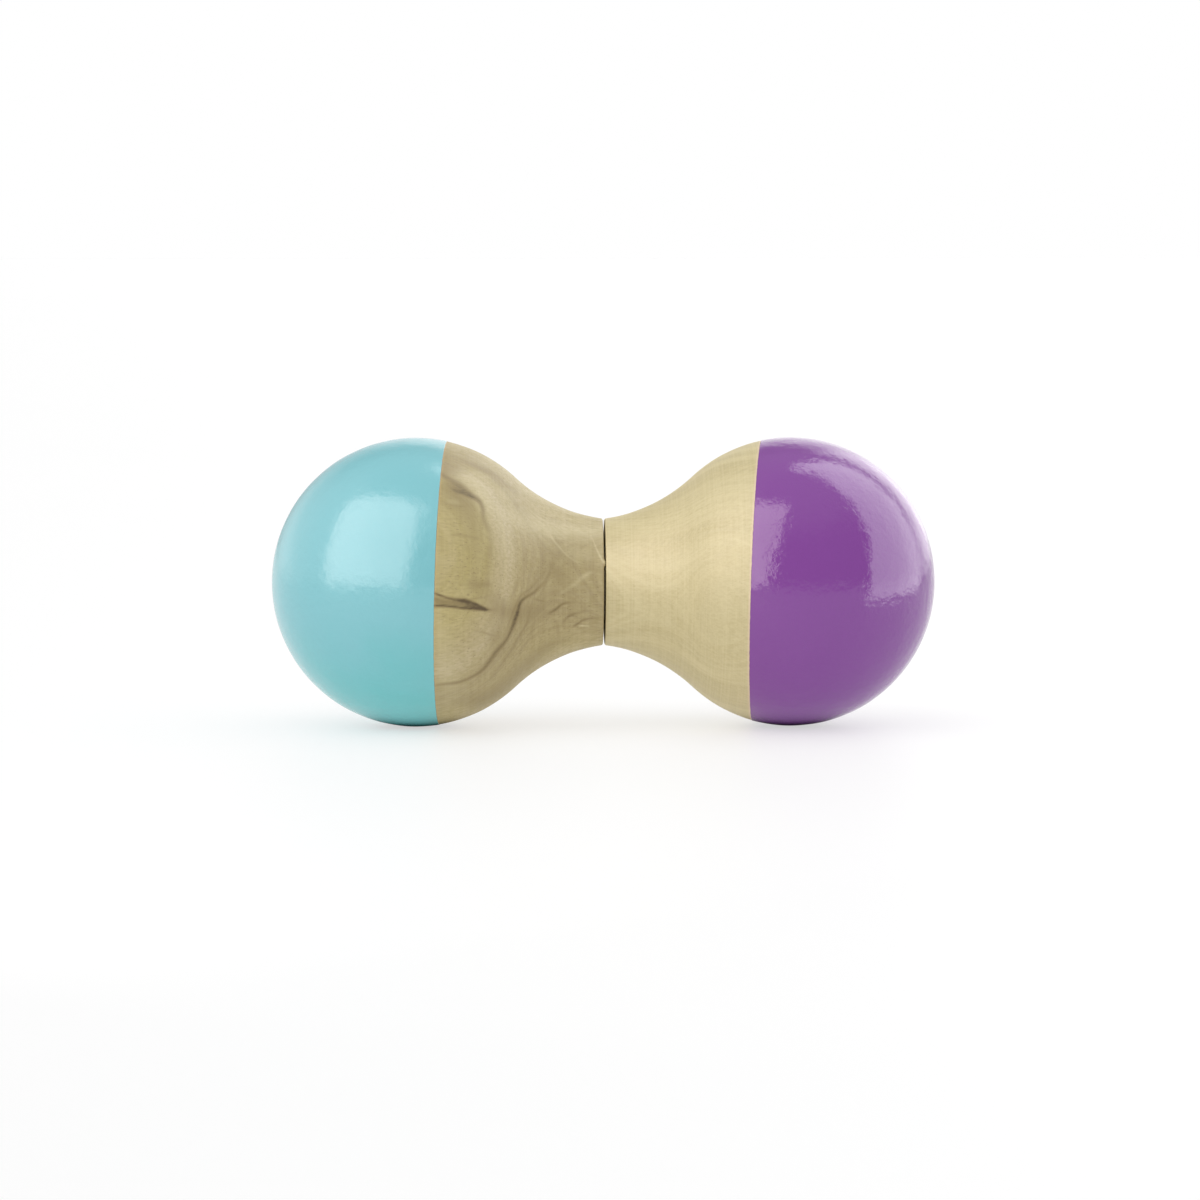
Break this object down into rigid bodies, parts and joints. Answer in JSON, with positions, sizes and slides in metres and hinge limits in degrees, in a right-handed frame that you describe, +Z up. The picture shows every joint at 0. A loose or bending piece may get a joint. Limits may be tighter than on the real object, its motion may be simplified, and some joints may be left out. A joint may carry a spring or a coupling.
{
  "type": "baby rattle",
  "caption": "Turned wooden rattle with a hollow round head at each end of a slim waist that twists; small wooden beads roll and knock inside the heads.",
  "frame": {"origin": "on the rattle's long axis, in the middle of the gap between the two necks, which is also the centre of the whole object", "axes": "+X along the long axis from the blue head to the purple head, +Z up with the rattle lying on both heads, -Y towards a person looking at its side with the blue head on their left"},
  "size_m": [0.1286, 0.056, 0.056],
  "materials": {
    "blue_paint": "high-gloss turquoise-blue paint on turned hardwood",
    "purple_paint": "high-gloss purple paint on turned hardwood",
    "olive_wood": "clear satin lacquer on swirled olive-brown hardwood with a dark knot streak",
    "pale_wood": "clear satin lacquer on pale, even, fine-grained hardwood",
    "bead_wood": "plain sanded hardwood",
    "axle_steel": "bright drawn steel",
    "spacer_nylon": "natural nylon"
  },
  "bodies": {
    "blue_half": {"blue_cap": "blue_paint", "blue_body": "olive_wood", "neck_axle": "axle_steel", "neck_spacer": "spacer_nylon", "axle_washer": "axle_steel", "axle_push_nut": "axle_steel"},
    "purple_half": {"purple_cap": "purple_paint", "purple_body": "pale_wood"},
    "blue_bead_1": {"blue_bead_1": "bead_wood"},
    "blue_bead_2": {"blue_bead_2": "bead_wood"},
    "blue_bead_3": {"blue_bead_3": "bead_wood"},
    "blue_bead_4": {"blue_bead_4": "bead_wood"},
    "blue_bead_5": {"blue_bead_5": "bead_wood"},
    "blue_bead_6": {"blue_bead_6": "bead_wood"},
    "blue_bead_7": {"blue_bead_7": "bead_wood"},
    "purple_bead_1": {"purple_bead_1": "bead_wood"},
    "purple_bead_2": {"purple_bead_2": "bead_wood"},
    "purple_bead_3": {"purple_bead_3": "bead_wood"},
    "purple_bead_4": {"purple_bead_4": "bead_wood"},
    "purple_bead_5": {"purple_bead_5": "bead_wood"},
    "purple_bead_6": {"purple_bead_6": "bead_wood"},
    "purple_bead_7": {"purple_bead_7": "bead_wood"}
  },
  "joints": [
    {"name": "neck_swivel", "type": "hinge", "parent": "blue_half", "child": "purple_half", "pos_m": [0, 0, 0], "axis": [1, 0, 0], "continuous": true},
    {"name": "blue_bead_1_hop", "type": "slide", "parent": "blue_half", "child": "blue_bead_1", "axis": [0, 0, 1], "range_m": [0, 0.0334]},
    {"name": "blue_bead_2_roll", "type": "hinge", "parent": "blue_half", "child": "blue_bead_2", "pos_m": [-0.0363, 0, 0], "axis": [0.5, -0.866, 0], "range_deg": [0, 123]},
    {"name": "blue_bead_3_roll", "type": "hinge", "parent": "blue_half", "child": "blue_bead_3", "pos_m": [-0.0363, 0, 0], "axis": [1, 0, 0], "range_deg": [0, 123]},
    {"name": "blue_bead_4_roll", "type": "hinge", "parent": "blue_half", "child": "blue_bead_4", "pos_m": [-0.0363, 0, 0], "axis": [0.5, 0.866, 0], "range_deg": [0, 123]},
    {"name": "blue_bead_5_roll", "type": "hinge", "parent": "blue_half", "child": "blue_bead_5", "pos_m": [-0.0363, 0, 0], "axis": [-0.5, 0.866, 0], "range_deg": [0, 123]},
    {"name": "blue_bead_6_roll", "type": "hinge", "parent": "blue_half", "child": "blue_bead_6", "pos_m": [-0.0363, 0, 0], "axis": [-1, 0, 0], "range_deg": [0, 123]},
    {"name": "blue_bead_7_roll", "type": "hinge", "parent": "blue_half", "child": "blue_bead_7", "pos_m": [-0.0363, 0, 0], "axis": [-0.5, -0.866, 0], "range_deg": [0, 123]},
    {"name": "purple_bead_1_hop", "type": "slide", "parent": "purple_half", "child": "purple_bead_1", "axis": [0, 0, 1], "range_m": [0, 0.0334]},
    {"name": "purple_bead_2_roll", "type": "hinge", "parent": "purple_half", "child": "purple_bead_2", "pos_m": [0.0363, 0, 0], "axis": [0.5, -0.866, 0], "range_deg": [0, 123]},
    {"name": "purple_bead_3_roll", "type": "hinge", "parent": "purple_half", "child": "purple_bead_3", "pos_m": [0.0363, 0, 0], "axis": [1, 0, 0], "range_deg": [0, 123]},
    {"name": "purple_bead_4_roll", "type": "hinge", "parent": "purple_half", "child": "purple_bead_4", "pos_m": [0.0363, 0, 0], "axis": [0.5, 0.866, 0], "range_deg": [0, 123]},
    {"name": "purple_bead_5_roll", "type": "hinge", "parent": "purple_half", "child": "purple_bead_5", "pos_m": [0.0363, 0, 0], "axis": [-0.5, 0.866, 0], "range_deg": [0, 123]},
    {"name": "purple_bead_6_roll", "type": "hinge", "parent": "purple_half", "child": "purple_bead_6", "pos_m": [0.0363, 0, 0], "axis": [-1, 0, 0], "range_deg": [0, 123]},
    {"name": "purple_bead_7_roll", "type": "hinge", "parent": "purple_half", "child": "purple_bead_7", "pos_m": [0.0363, 0, 0], "axis": [-0.5, -0.866, 0], "range_deg": [0, 123]}
  ]
}
